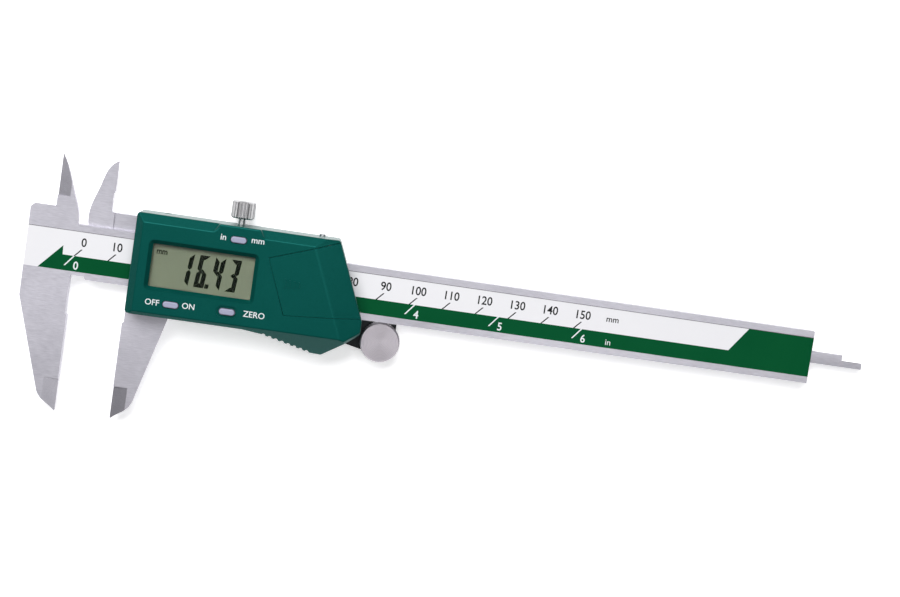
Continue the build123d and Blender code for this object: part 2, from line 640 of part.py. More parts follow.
def lock_screw():
    knob_low = BEAM_WIDTH + LOCK_KNOB_START
    knob = fluted(LOCK_KNOB_RADIUS, LOCK_KNOB_HEIGHT, LOCK_FLUTES, 0.28)
    knob = Pos(LOCK_X, knob_low, LOCK_Z) * Rot(-90, 0, 0) * knob
    shank_low = lock_foot() + LOCK_PAD_THICKNESS + FACE_GAP
    return knob + rod_y(LOCK_X, LOCK_Z, shank_low, knob_low, LOCK_SHANK_RADIUS)


def lock_pad():
    low = lock_foot()
    return rod_y(LOCK_X, LOCK_Z, low, low + LOCK_PAD_THICKNESS, LOCK_SHANK_RADIUS)


# ---- thumb roller ----
def roller_bracket():
    end = rod(ROLLER_X, ROLLER_Y, BRACKET_BACK, BRACKET_FRONT, BRACKET_END_RADIUS)
    arm = polygon(
        [
            (BRACKET_LEFT + PART_GAP, FRAME_LOW),
            (BRACKET_LEFT + PART_GAP, -BRACKET_TOP - PART_GAP),
            (ROLLER_X + BRACKET_END_RADIUS, -BRACKET_TOP - PART_GAP),
            (ROLLER_X + BRACKET_END_RADIUS, ROLLER_Y),
            (ROLLER_X, ROLLER_Y - BRACKET_END_RADIUS),
            (FRAME_RIGHT + BRACKET_WAIST, ROLLER_Y - BRACKET_END_RADIUS / 2),
            (FRAME_RIGHT, FRAME_LOW),
        ],
        BRACKET_BACK,
        BRACKET_FRONT,
    )
    shape = arm + end - rod(ROLLER_X, ROLLER_Y, 0, BRACKET_FRONT + 1, ROLLER_SHAFT_RADIUS + TURN_GAP)
    for x in BRACKET_SCREW_PLACES:
        shape = shape - rod(x, LOWER_SCREW_Y, 0, BRACKET_FRONT + 1, BRACKET_SCREW_RADIUS)
    return shape


def roller_bracket_screws():
    return together([
        slotted_head(x, LOWER_SCREW_Y, BRACKET_BACK - 0.6, BRACKET_BACK, BRACKET_HEAD_RADIUS)
        + rod(x, LOWER_SCREW_Y, BRACKET_BACK, BRACKET_FRONT + 2.0, BRACKET_SCREW_RADIUS)
        for x in BRACKET_SCREW_PLACES
    ])


def thumb_roller():
    wheel = fluted(ROLLER_RADIUS, ROLLER_THICKNESS, ROLLER_FLUTES, 0.22)
    wheel = Pos(ROLLER_X, ROLLER_Y, ROLLER_BACK) * wheel
    return wheel - rod(ROLLER_X, ROLLER_Y, 0, ROLLER_BACK + ROLLER_THICKNESS - 1.0, ROLLER_SHAFT_RADIUS)


def clip_back():
    return BRACKET_BACK - 0.05 - CLIP_THICKNESS


def roller_shaft():
    low = clip_back() - 0.1
    shaft = rod(ROLLER_X, ROLLER_Y, low, ROLLER_BACK + ROLLER_THICKNESS - 1.0, ROLLER_SHAFT_RADIUS)
    ring = rod(ROLLER_X, ROLLER_Y, clip_back(), clip_back() + CLIP_THICKNESS, ROLLER_SHAFT_RADIUS + 1)
    core = rod(ROLLER_X, ROLLER_Y, clip_back() - 1, BRACKET_BACK, ROLLER_SHAFT_RADIUS - CLIP_GROOVE)
    return shaft - (ring - core)


def roller_clip():
    low = clip_back()
    ring = rod(ROLLER_X, ROLLER_Y, low, low + CLIP_THICKNESS, CLIP_RADIUS)
    ring = ring - rod(ROLLER_X, ROLLER_Y, low - 1, low + 1, ROLLER_SHAFT_RADIUS - CLIP_GROOVE)
    mouth = block(ROLLER_X, ROLLER_X + CLIP_RADIUS + 1, ROLLER_Y - 0.7, ROLLER_Y + 0.7, low - 1, low + 1)
    return ring - mouth


# ---- housing ----
def housing_outline(inset):
    """The housing's outline with its toe, moved in by inset."""
    points = [
        (HOUSING_LEFT, HOUSING_LOW),
        (HOUSING_LEFT, HOUSING_TOP),
        (HOUSING_RIGHT - TOP_RIGHT_IN, HOUSING_TOP),
        (HOUSING_RIGHT, RIGHT_LOW),
        (HOUSING_RIGHT, RIGHT_LOWER),
        (TOE_X, HOUSING_LOW - TOE_DROP),
        (GRIP_RIGHT, HOUSING_LOW - TOE_DROP + TOE_RISE),
        (GRIP_LEFT, HOUSING_LOW - GRIP_START_DROP),
        (GRIP_START_X, HOUSING_LOW),
    ]
    face = make_face(Polyline(*points, close=True))
    if inset:
        face = offset(face, -inset, kind=Kind.INTERSECTION)
    return face


def housing_body(inset, back):
    """The housing's outer form, or its inside when moved in by inset."""
    front = HOUSING_FRONT - (FRONT_WALL if inset else 0)
    shape = extrude(Pos(0, 0, back) * housing_outline(inset), front - back)
    for point, normal in (
        ((HOUSING_LEFT, 0, HOUSING_FRONT - SIDE_CHAMFER_DROP), (-SIDE_CHAMFER_DROP, 0, SIDE_CHAMFER)),
        ((0, HOUSING_LOW, HOUSING_FRONT - BOTTOM_CHAMFER_DROP), (0, -BOTTOM_CHAMFER_DROP, BOTTOM_CHAMFER)),
        right_slope(),
        toe_bevel(),
    ):
        length = math.sqrt(sum(part * part for part in normal))
        moved = tuple(place - inset * part / length for place, part in zip(point, normal))
        shape = shape - outside(moved, normal)
    for x0, x1 in top_chamfer_runs():
        shape = shape - top_chamfer(x0 - inset, x1 + inset, inset)
    return shape


def housing_form():
    """The housing's outer form with its ridges and corners rounded."""
    shape = housing_body(0, HOUSING_BACK)
    ridges = []
    for edge in shape.edges():
        box = edge.bounding_box()
        if box.size.Y > SLOPE_RIDGE_LEAST and box.size.X > 1 and box.min.Z > HOUSING_FRONT - PART_GAP:
            ridges.append(edge)
    shape = fillet(ridges, SLOPE_FILLET)
    uprights = []
    for edge in shape.edges():
        size = edge.bounding_box().size
        if size.X < PART_GAP and size.Y < PART_GAP and size.Z > UPRIGHT_LEAST:
            uprights.append(edge)
    shape = fillet(uprights, HOUSING_CORNER)
    upper = []
    for edge in shape.edges():
        box = edge.bounding_box()
        if box.min.Z > HOUSING_FRONT - RIDGE_DEPTH and box.max.Z > HOUSING_FRONT - RIDGE_REACH:
            upper.append(edge)
    return fillet(upper, RIDGE_FILLET)


def right_slope():
    """The broad slope that falls towards the right edge."""
    nx, ny = math.cos(RIGHT_LEAN), math.sin(RIGHT_LEAN)
    length = math.hypot(SLOPE_WIDTH, SLOPE_DROP)
    point = (HOUSING_RIGHT - nx * SLOPE_WIDTH, RIGHT_LOW - ny * SLOPE_WIDTH, HOUSING_FRONT)
    tilt = (nx * SLOPE_DROP / length, ny * SLOPE_DROP / length, SLOPE_WIDTH / length)
    return point, tilt


def toe_bevel():
    """The steep facet between the toe and the right edge."""
    dx = HOUSING_RIGHT - TOE_X
    dy = RIGHT_LOWER - (HOUSING_LOW - TOE_DROP)
    length = math.hypot(dx, dy)
    turn = math.radians(13)
    nx = dy / length
    ny = -dx / length
    nx, ny = nx * math.cos(turn) - ny * math.sin(turn), nx * math.sin(turn) + ny * math.cos(turn)
    point = (TOE_X + nx * 0.8, HOUSING_LOW - TOE_DROP + ny * 0.8, HOUSING_FRONT)
    return point, (nx * TOE_BEVEL_DROP, ny * TOE_BEVEL_DROP, TOE_BEVEL_WIDTH)


def top_chamfer_runs():
    """Where the upper front edge is bevelled: on both sides of the flat at the lock screw."""
    return (
        (HOUSING_LEFT - 5, LOCK_X + 0.3 - LOCK_FLAT / 2 - FLAT_RAMP),
        (LOCK_X + 0.3 + LOCK_FLAT / 2 + FLAT_RAMP, HOUSING_RIGHT + 5),
    )


def top_chamfer(x0, x1, inset):
    """Cutter for one run of the upper bevel, with slanted ends."""
    ridge_y = HOUSING_TOP - TOP_CHAMFER
    footprint = polygon(
        [
            (x0 - (FLAT_RAMP if x0 < LOCK_X else 0), ridge_y - inset),
            (x1, ridge_y - inset),
            (x1 + (FLAT_RAMP if x1 < LOCK_X else 0), HOUSING_TOP + 1),
            (x0 - (FLAT_RAMP if x0 > LOCK_X else 0), HOUSING_TOP + 1),
        ],
        HOUSING_FRONT - FRONT_WALL - TOP_CHAMFER_DROP * 3,
        HOUSING_FRONT + 1,
    )
    normal = (0, TOP_CHAMFER_DROP, TOP_CHAMFER)
    length = math.hypot(TOP_CHAMFER_DROP, TOP_CHAMFER)
    point = (0, ridge_y - inset * normal[1] / length, HOUSING_FRONT - inset * normal[2] / length)
    return footprint & outside(point, normal)


def cover_outline(gap):
    """The battery cover's footprint, grown by gap."""
    x_end = HOUSING_RIGHT + 5
    top_left = (COVER_TOP_LEFT[0] - gap, COVER_TOP_LEFT[1] + gap)
    low_left = (COVER_LOW_LEFT[0] - gap, COVER_LOW_LEFT[1] - gap)
    rise = math.tan(math.radians(COVER_TOP_SLOPE))
    fall = math.tan(math.radians(COVER_LOW_SLOPE))
    return [
        top_left,
        (x_end, top_left[1] + rise * (x_end - top_left[0])),
        (x_end, low_left[1] + fall * (x_end - low_left[0])),
        low_left,
    ]


def cover_floor():
    """The level on the right wall where the cover's lip ends."""
    return HOUSING_FRONT - SLOPE_DROP - COVER_LIP


def housing():
    shape = housing_form() - housing_body(WALL, HOUSING_BACK - 1)
    slots = [grip_groove(index) for index in range(GRIP_TEETH)]
    shape = shape - together(slots)
    shape = shape + housing_bosses()
    shape = shape - window_opening() - button_openings() - housing_passages()
    opening = polygon(cover_outline(COVER_GAP), cover_floor() - COVER_GAP, HOUSING_FRONT + 5)
    return shape - opening


def grip_groove(index):
    """One groove of the finger grip, cut along Z on the sloping lower edge."""
    share = (index + 0.5) / GRIP_TEETH
    x = GRIP_LEFT + (GRIP_RIGHT - GRIP_LEFT) * share
    y = HOUSING_LOW - GRIP_START_DROP + (GRIP_START_DROP + TOE_RISE - TOE_DROP) * share
    return rod(x, y - GRIP_GROOVE_OUT, HOUSING_BACK - 1, HOUSING_FRONT + 1, GRIP_GROOVE)


def housing_bosses():
    bosses = []
    for x, upper in HOUSING_SCREW_PLACES:
        y = UPPER_SCREW_Y if upper else LOWER_SCREW_Y
        pillar = rod(x, y, RAIL_FRONT, FRONT_INSIDE + 0.3, BOSS_RADIUS)
        bosses.append(pillar - rod(x, y, RAIL_FRONT - 1, RAIL_FRONT + SCREW_BITE, SMALL_SCREW_RADIUS))
    return together(bosses)


def window_rectangle(grow, z0, z1):
    return block(WINDOW_LEFT - grow, WINDOW_LEFT + WINDOW_WIDTH + grow, WINDOW_LOW - grow,
                 WINDOW_LOW + WINDOW_HEIGHT + grow, z0, z1)


def window_opening():
    """The hole over the display, bevelled on all four sides."""
    centre = (WINDOW_LEFT + WINDOW_WIDTH / 2, WINDOW_LOW + WINDOW_HEIGHT / 2)
    outline = RectangleRounded(WINDOW_WIDTH, WINDOW_HEIGHT, WINDOW_CORNER)
    wide_outline = RectangleRounded(WINDOW_WIDTH + 2 * WINDOW_BEVEL, WINDOW_HEIGHT + 2 * WINDOW_BEVEL,
                                    WINDOW_CORNER + WINDOW_BEVEL)
    hole = extrude(Pos(*centre, LENS_BACK) * outline, HOUSING_FRONT - LENS_BACK)
    low = Pos(*centre, HOUSING_FRONT - WINDOW_BEVEL_DROP) * outline
    high = Pos(*centre, HOUSING_FRONT) * wide_outline
    return hole + loft([low.face(), high.face()])


def button_openings():
    cuts = []
    for centre in (UNIT_BUTTON, POWER_BUTTON, ZERO_BUTTON):
        cuts.append(pill(centre, BUTTON_LENGTH + 2 * BUTTON_GAP, BUTTON_WIDTH + 2 * BUTTON_GAP,
                         FRONT_INSIDE - 1, HOUSING_FRONT + 1))
    cuts.append(pill(ZERO_BUTTON, BUTTON_LENGTH + 2 * ZERO_RECESS, BUTTON_WIDTH + 2 * ZERO_RECESS,
                     HOUSING_FRONT - ZERO_RECESS_DEPTH, HOUSING_FRONT + 1))
    return together(cuts)


def housing_passages():
    """Room for the beam, the jaws, the rails, the roller arm and the screws."""
    left_way = block(HOUSING_LEFT - 1, HOUSING_LEFT + WALL + 1, HOUSING_LOW - 1, FRAME_TOP + PART_GAP,
                     HOUSING_BACK - 1, RAIL_FRONT + PART_GAP)
    jaw_right = READING + OUTER_JAW_WIDTH + JAW_WINDOW_CLEAR
    jaw_way = block(HOUSING_LEFT - 1, jaw_right, HOUSING_LOW - 1, FRAME_LOW, HOUSING_BACK - 1,
                    RAIL_FRONT + PART_GAP)
    beam_way = block(FRAME_RIGHT - 5, HOUSING_RIGHT + 1, -0.4, BEAM_WIDTH + 0.4, HOUSING_BACK - 1,
                     RAIL_FRONT + PART_GAP)
    arm_way = block(BRACKET_LEFT - 1, HOUSING_RIGHT + 1, ROLLER_Y - BRACKET_END_RADIUS - 0.3, 0,
                    HOUSING_BACK - 1, BRACKET_FRONT + PART_GAP)
    cuts = [left_way, jaw_way, beam_way, arm_way]
    cuts.append(rod_y(LOCK_X, LOCK_Z, HOUSING_TOP - WALL - 1, HOUSING_TOP + 1,
                      LOCK_SHANK_RADIUS + PART_GAP))
    for x, top in GIB_SCREW_PLACES:
        cuts.append(rod_y(x, LOCK_Z, HOUSING_TOP - WALL - 1, HOUSING_TOP + 1, GIB_SCREW_RADIUS + PART_GAP))
    return together(cuts)


def housing_screws():
    screws = []
    for x, upper in HOUSING_SCREW_PLACES:
        y = UPPER_SCREW_Y if upper else LOWER_SCREW_Y
        head = slotted_head(x, y, SMALL_HEAD_HEIGHT - 0.75, SMALL_HEAD_HEIGHT, SMALL_HEAD_RADIUS)
        shank = rod(x, y, SMALL_HEAD_HEIGHT, RAIL_FRONT + SCREW_BITE - 0.3, SMALL_SCREW_RADIUS)
        screws.append(head + shank)
    return together(screws)


# ---- display ----
def display_window():
    return window_rectangle(LENS_MARGIN, LENS_BACK, FRONT_INSIDE)


def display_gasket():
    return (window_rectangle(LENS_MARGIN, GLASS_FRONT, LENS_BACK)
            - window_rectangle(LENS_MARGIN - GASKET_WIDTH, GLASS_FRONT - 1, LENS_BACK + 1))


def lcd_panel():
    return window_rectangle(GLASS_MARGIN, GLASS_BACK, GLASS_FRONT)


def lcd_reflector():
    low = WINDOW_LOW - GLASS_MARGIN + REFLECTOR_INSET
    high = WINDOW_LOW + WINDOW_HEIGHT + GLASS_MARGIN - REFLECTOR_INSET
    return block(WINDOW_LEFT, WINDOW_LEFT + WINDOW_WIDTH, low, high, GLASS_BACK - REFLECTOR_THICKNESS,
                 GLASS_BACK)


def zebra_bands(grow):
    """The two conductive rubber strips, or the slots that hold them when grown."""
    low = WINDOW_LOW - GLASS_MARGIN + ZEBRA_INSET
    high = WINDOW_LOW + WINDOW_HEIGHT + GLASS_MARGIN - ZEBRA_INSET
    return together([
        block(WINDOW_LEFT + 1 - grow, WINDOW_LEFT + WINDOW_WIDTH - 1 + grow, y0 - grow,
              y0 + ZEBRA_WIDTH + grow, BOARD_FRONT, GLASS_BACK)
        for y0 in (low, high - ZEBRA_WIDTH)
    ])


def zebra_strips():
    return zebra_bands(0)


def lcd_carrier():
    shape = window_rectangle(CARRIER_MARGIN, BOARD_FRONT, GLASS_FRONT)
    shape = shape - window_rectangle(GLASS_MARGIN + 0.05, GLASS_BACK - REFLECTOR_THICKNESS, GLASS_FRONT + 1)
    floor = GLASS_BACK - REFLECTOR_THICKNESS - CARRIER_FLOOR
    shape = shape - window_rectangle(-CARRIER_HOLLOW_INSET + CARRIER_MARGIN, BOARD_FRONT - 1, floor)
    return shape - zebra_bands(0.1)


def button(centre):
    """A pill-shaped key with a flange under the front wall and a stem over its dome."""
    cap = pill(centre, BUTTON_LENGTH, BUTTON_WIDTH, FRONT_INSIDE - 0.5, HOUSING_FRONT + BUTTON_PROUD)
    cap = fillet(cap.edges().group_by(Axis.Z)[-1], 0.35)
    top = FRONT_INSIDE - 0.05
    flange = pill(centre, BUTTON_LENGTH + 2 * BUTTON_FLANGE, BUTTON_WIDTH + 2 * BUTTON_FLANGE,
                  top - BUTTON_FLANGE_THICKNESS, top)
    foot = BOARD_FRONT + DOME_HEIGHT + BUTTON_TRAVEL + 0.05
    return cap + flange + rod(centre[0], centre[1], foot, top, BUTTON_STEM_RADIUS)


def button_domes():
    domes = []
    for centre in (UNIT_BUTTON, POWER_BUTTON, ZERO_BUTTON):
        dome = rod(centre[0], centre[1], BOARD_FRONT, BOARD_FRONT + DOME_HEIGHT, DOME_RADIUS)
        domes.append(chamfer(dome.edges().group_by(Axis.Z)[-1], DOME_HEIGHT * 0.6))
    return together(domes)


# ---- circuit board ----
def circuit_board():
    """The board, notched around the housing's four screw bosses."""
    shape = block(BOARD_LEFT, BOARD_RIGHT, HOUSING_LOW + WALL + BOARD_EDGE_GAP,
                  HOUSING_TOP - WALL - BOARD_EDGE_GAP, BOARD_BACK, BOARD_FRONT)
    notch = BOSS_RADIUS + PART_GAP
    for x, upper in HOUSING_SCREW_PLACES:
        y = UPPER_SCREW_Y if upper else LOWER_SCREW_Y
        low, high = (y, FAR) if upper else (-FAR, y)
        shape = shape - rod(x, y, BOARD_BACK - 1, BOARD_FRONT + 1, notch)
        shape = shape - block(x - notch, x + notch, low, high, BOARD_BACK - 1, BOARD_FRONT + 1)
    for x, upper in BOARD_SCREW_PLACES:
        y = UPPER_SCREW_Y if upper else LOWER_SCREW_Y
        shape = shape - rod(x, y, BOARD_BACK - 1, BOARD_FRONT + 1, BOARD_SCREW_RADIUS)
    return shape


def board_screws():
    screws = []
    for x, upper in BOARD_SCREW_PLACES:
        y = UPPER_SCREW_Y if upper else LOWER_SCREW_Y
        head = slotted_head(x, y, BOARD_FRONT, BOARD_FRONT + BOARD_HEAD_HEIGHT, BOARD_HEAD_RADIUS, False)
        screws.append(head + rod(x, y, RAIL_FRONT - 2.3, BOARD_FRONT, BOARD_SCREW_RADIUS))
    return together(screws)


def controller_chip():
    """The measuring chip under its cast drop of epoxy, in the hollow of the display carrier."""
    x = WINDOW_LEFT + WINDOW_WIDTH / 2
    y = WINDOW_LOW + WINDOW_HEIGHT / 2
    drop = rod(x, y, BOARD_FRONT, BOARD_FRONT + CHIP_HEIGHT, CHIP_RADIUS)
    return fillet(drop.edges().group_by(Axis.Z)[-1], CHIP_FILLET)


def crystal():
    x = WINDOW_LEFT + WINDOW_WIDTH * CRYSTAL_PLACE
    y = WINDOW_LOW + WINDOW_HEIGHT / 2
    return rod_y(x, BOARD_FRONT + CRYSTAL_RADIUS, y - CRYSTAL_LENGTH / 2, y + CRYSTAL_LENGTH / 2,
                 CRYSTAL_RADIUS)


def capacitors():
    x = WINDOW_LEFT + WINDOW_WIDTH * CAPACITOR_PLACE
    y = WINDOW_LOW + WINDOW_HEIGHT / 2
    wide, long, high = CAPACITOR_SIZE
    return together([
        block(x - wide / 2, x + wide / 2, y + step - long / 2, y + step + long / 2, BOARD_FRONT,
              BOARD_FRONT + high)
        for step in (-CAPACITOR_PITCH, 0.0, CAPACITOR_PITCH)
    ])


# ---- battery ----
def battery():
    can = rod(BATTERY_X, BATTERY_Y, BATTERY_BACK + BATTERY_RIM, BATTERY_BACK + BATTERY_THICKNESS,
              BATTERY_RADIUS)
    can = fillet(can.edges().filter_by(GeomType.CIRCLE).group_by(Axis.Z)[-1], 0.5)
    cap = rod(BATTERY_X, BATTERY_Y, BATTERY_BACK, BATTERY_BACK + BATTERY_RIM, BATTERY_RADIUS - 1.2)
    return can + cap


def battery_holder():
    inner = BATTERY_RADIUS + PART_GAP
    outer = rod(BATTERY_X, BATTERY_Y, BOARD_FRONT, BOARD_FRONT + HOLDER_HEIGHT, inner + HOLDER_WALL)
    shape = outer - rod(BATTERY_X, BATTERY_Y, BOARD_FRONT - 1, BOARD_FRONT + HOLDER_HEIGHT + 1, inner)
    mouth = CONTACT_WIDTH / 2 + PART_GAP
    return shape - block(BATTERY_X - BATTERY_RADIUS - 5, BATTERY_X - 1, BATTERY_Y - mouth, BATTERY_Y + mouth,
                         BOARD_FRONT - 1, BOARD_FRONT + HOLDER_HEIGHT + 1)


def battery_contact_plus():
    """The clip that stands beside the battery's can."""
    right = BATTERY_X - BATTERY_RADIUS
    low = BATTERY_Y - CONTACT_WIDTH / 2
    upright = block(right - CONTACT_THICKNESS, right, low, low + CONTACT_WIDTH, BOARD_FRONT,
                    BATTERY_BACK + BATTERY_THICKNESS * 0.7)
    foot = block(right - 2.2, right, low, low + CONTACT_WIDTH, BOARD_FRONT, BOARD_FRONT + CONTACT_THICKNESS)
    return upright + foot


def battery_contact_minus():
    """The sprung strip under the battery."""
    low = BATTERY_Y - CONTACT_WIDTH / 2
    pad = block(BATTERY_X - 1.5, BATTERY_X + 4.0, low, low + CONTACT_WIDTH, BOARD_FRONT,
                BOARD_FRONT + CONTACT_THICKNESS * 0.6)
    crown = block(BATTERY_X - 1.0, BATTERY_X + 1.5, low + 1, low + CONTACT_WIDTH - 1, BOARD_FRONT,
                  BATTERY_BACK)
    return pad + crown


def battery_cover():
    skin = housing_form() - housing_body(WALL, HOUSING_BACK - 1)
    shape = skin & polygon(cover_outline(0), cover_floor(), HOUSING_FRONT + 1)
    middle_y = (COVER_TOP_LEFT[1] + COVER_LOW_LEFT[1]) / 2
    middle_x = (COVER_TOP_LEFT[0] + COVER_LOW_LEFT[0]) / 2
    tongue_low = FRONT_INSIDE - COVER_GAP - COVER_TONGUE_THICKNESS
    root = polygon(
        [
            (middle_x + TONGUE_ROOT[0], middle_y + COVER_TONGUE_WIDTH / 2),
            (middle_x + TONGUE_ROOT[1], middle_y + COVER_TONGUE_WIDTH / 2),
            (middle_x + TONGUE_ROOT[1], middle_y - COVER_TONGUE_WIDTH / 2),
            (middle_x + TONGUE_ROOT[0], middle_y - COVER_TONGUE_WIDTH / 2),
        ],
        tongue_low,
        FRONT_INSIDE,
    )
    tongue = block(middle_x - COVER_TONGUE, middle_x + TONGUE_ROOT[1], middle_y - COVER_TONGUE_WIDTH / 2,
                   middle_y + COVER_TONGUE_WIDTH / 2, tongue_low, tongue_low + COVER_TONGUE_THICKNESS)
    shape = shape + root + tongue
    wide, long, high = COVER_RIB
    for index in range(COVER_RIBS):
        x = COVER_RIB_START[0] + COVER_RIB_PITCH * index
        rib = Pos(x, COVER_RIB_START[1], HOUSING_FRONT) * Box(wide, long - COVER_RIB_TAPER * index, 2 * high)
        shape = shape + rib
    return shape


os.makedirs("parts", exist_ok=True)
write("beam", beam())
write("scale_board", scale_board())
write("scale_label", scale_label())
write("depth_guide_plate", depth_guide_plate())
write("depth_guide_screws", depth_guide_screws())
write("slider_frame", slider_frame())
write("gib_strip", gib_strip())
write("gib_screws", gib_screws())
write("depth_bar", depth_bar())
write("depth_bar_pins", depth_bar_pins())
write("rear_label", rear_label())
write("lock_screw", lock_screw())
write("lock_pad", lock_pad())
write("roller_bracket", roller_bracket())
write("roller_bracket_screws", roller_bracket_screws())
write("thumb_roller", thumb_roller())
write("roller_shaft", roller_shaft())
write("roller_clip", roller_clip())
write("housing", housing())
write("housing_screws", housing_screws())
write("display_window", display_window())
write("display_gasket", display_gasket())
write("lcd_panel", lcd_panel())
write("lcd_reflector", lcd_reflector())
write("zebra_strips", zebra_strips())
write("lcd_carrier", lcd_carrier())
write("unit_button", button(UNIT_BUTTON))
write("power_button", button(POWER_BUTTON))
write("zero_button", button(ZERO_BUTTON))
write("button_domes", button_domes())
write("circuit_board", circuit_board())
write("board_screws", board_screws())
write("controller_chip", controller_chip())
write("crystal", crystal())
write("capacitors", capacitors())
write("battery", battery())
write("battery_holder", battery_holder())
write("battery_contact_plus", battery_contact_plus())
write("battery_contact_minus", battery_contact_minus())
write("battery_cover", battery_cover())
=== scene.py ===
"""Looks for a digital caliper: label print, lettering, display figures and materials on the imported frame."""

import json
import math

import bmesh
import bpy
from mathutils import Matrix, Vector


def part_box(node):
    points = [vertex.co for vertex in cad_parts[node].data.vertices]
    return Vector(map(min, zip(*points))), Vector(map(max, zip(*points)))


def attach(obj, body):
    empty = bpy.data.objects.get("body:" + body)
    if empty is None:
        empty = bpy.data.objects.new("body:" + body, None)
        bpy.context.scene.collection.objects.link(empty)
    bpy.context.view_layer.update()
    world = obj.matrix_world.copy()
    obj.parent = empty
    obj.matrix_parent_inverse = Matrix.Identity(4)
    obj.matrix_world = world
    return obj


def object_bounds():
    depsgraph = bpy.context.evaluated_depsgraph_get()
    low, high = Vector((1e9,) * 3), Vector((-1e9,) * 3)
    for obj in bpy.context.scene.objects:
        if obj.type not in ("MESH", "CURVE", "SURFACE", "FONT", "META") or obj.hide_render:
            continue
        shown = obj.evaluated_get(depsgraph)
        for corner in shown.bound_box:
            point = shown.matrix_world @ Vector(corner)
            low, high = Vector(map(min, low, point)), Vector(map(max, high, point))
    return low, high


MM = 0.001

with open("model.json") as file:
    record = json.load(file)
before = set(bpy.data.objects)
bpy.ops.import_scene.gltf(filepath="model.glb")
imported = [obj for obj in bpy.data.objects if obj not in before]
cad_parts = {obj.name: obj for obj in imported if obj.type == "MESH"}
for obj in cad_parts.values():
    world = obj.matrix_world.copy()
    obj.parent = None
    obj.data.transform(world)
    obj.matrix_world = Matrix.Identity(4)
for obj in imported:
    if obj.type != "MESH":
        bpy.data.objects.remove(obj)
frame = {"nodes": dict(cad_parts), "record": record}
cad_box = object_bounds()
NODES = frame["nodes"]

# ---- the view: from in front of the display, a little from the left and above, turned in the picture ----
CAMERA_LEFT = 4.1           # degrees
CAMERA_ABOVE = 5.2
CAMERA_ROLL = 8.6
CAMERA_DISTANCE = 0.56
CAMERA_LENS = 74.9          # millimetres on a 36 mm sensor
AIM = Vector((0.1118, 0.0357, 0.00175))

# ---- printing on the beam's label, in mm from the label's lower edge and from the zero mark ----
PRINT_SINK = 0.02           # each print reaches this far into its surface
GREEN_RAISE = 0.008
INK_RAISE = 0.014
BAND_HEIGHT = 4.6
ARROW = ((-10.2, 0.0), (-3.5, 7.3), (-3.4, BAND_HEIGHT))
END_SLANT = (197.6, 203.0)  # the green end's left edge, at the band and at the label's upper edge
TICK_WIDTH = 0.46
FIGURE_WEIGHT = 0.014       # boldness, at font size 1
BORDER_WIDTH = 0.16         # thin line along the label's upper edge
MM_TICK = (2.0, 2.15)       # lean and height of a millimetre mark
INCH_TICK = (-2.5, -3.1)
MM_FIGURE_HEIGHT = 2.45
INCH_FIGURE_HEIGHT = 2.3
MM_FIGURE_PLACE = (2.4, 8.9)
INCH_FIGURE_PLACE = (0.8, 1.8)
INCH = 25.4
SCALE_MM = 150
SCALE_INCH = 6
UNIT_HEIGHT = 1.75
MM_UNIT_PLACE = (161.3, 8.5)
INCH_UNIT_PLACE = (160.9, 1.7)

# ---- display figures, in mm ----
READING = "16.43"
DIGIT_HEIGHT = 9.6
DIGIT_WIDTH = 3.0
DIGIT_PITCH = 4.6
DIGIT_BAR = 1.3
DIGIT_SLANT = 6.0           # degrees
DIGIT_GAP = 0.02
DIGIT_RIGHT = 3.9           # from the last figure's place, one pitch wide, to the window's right edge
DIGITS_ABOVE = -0.1         # middle of the figures from the window's middle
DOT_SIZE = 0.9              # width of the decimal point, as a share of DIGIT_BAR
DISPLAY_UNIT_PLACE = (3.4, -3.1)        # middle of the unit from the window's upper left corner
DISPLAY_UNIT_HEIGHT = 1.7
DISPLAY_UNIT_WEIGHT = 0.03
SEGMENTS = {"1": "bc", "6": "acdefg", "4": "bcfg", "3": "abcdg"}

# ---- key lettering: word, key, mm right of and above the key's middle, height of its capitals ----
KEY_WORD_WEIGHT = 0.008     # boldness, at font size 1
KEY_WORDS = (
    ("in", "unit_button", -4.5, 0.3, 1.75),
    ("mm", "unit_button", 5.6, 0.35, 1.75),
    ("OFF", "power_button", -5.4, 0.1, 1.65),
    ("ON", "power_button", 5.15, 0.35, 1.65),
    ("ZERO", "zero_button", 7.9, 0.25, 1.7),
)


def label_point(u, v, w=0.0):
    """A point on the beam's label: u from the zero mark, v from the label's lower edge, w above it, in mm."""
    low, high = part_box("scale_label")
    return Vector((u * MM, low.y + v * MM, high.z + w * MM))


# ---------------------------------------------------------------- meshes

def new_piece(name, bm, body, material):
    """Makes a visible piece from bm that moves with a CAD body."""
    mesh = bpy.data.meshes.new(name)
    bm.normal_update()
    bm.to_mesh(mesh)
    bm.free()
    piece = bpy.data.objects.new(name, mesh)
    bpy.context.scene.collection.objects.link(piece)
    piece.data.materials.append(material)
    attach(piece, body)
    return piece


def add_slab(bm, corners, z_low, z_high):
    """Adds a flat closed plate with these (x, y) corners, in metres."""
    lower = [bm.verts.new((x, y, z_low)) for x, y in corners]
    upper = [bm.verts.new((x, y, z_high)) for x, y in corners]
    count = len(corners)
    faces = [lower[::-1], upper]
    faces += [[lower[i], lower[(i + 1) % count], upper[(i + 1) % count], upper[i]] for i in range(count)]
    made = [bm.faces.new(face) for face in faces]
    bmesh.ops.recalc_face_normals(bm, faces=made)


def add_label_slab(bm, corners, raise_by):
    """Adds a printed area on the label, with corners in mm as label_point takes them."""
    flat = [label_point(u, v).xy for u, v in corners]
    top = label_point(0, 0).z
    add_slab(bm, flat, top - PRINT_SINK * MM, top + raise_by * MM)


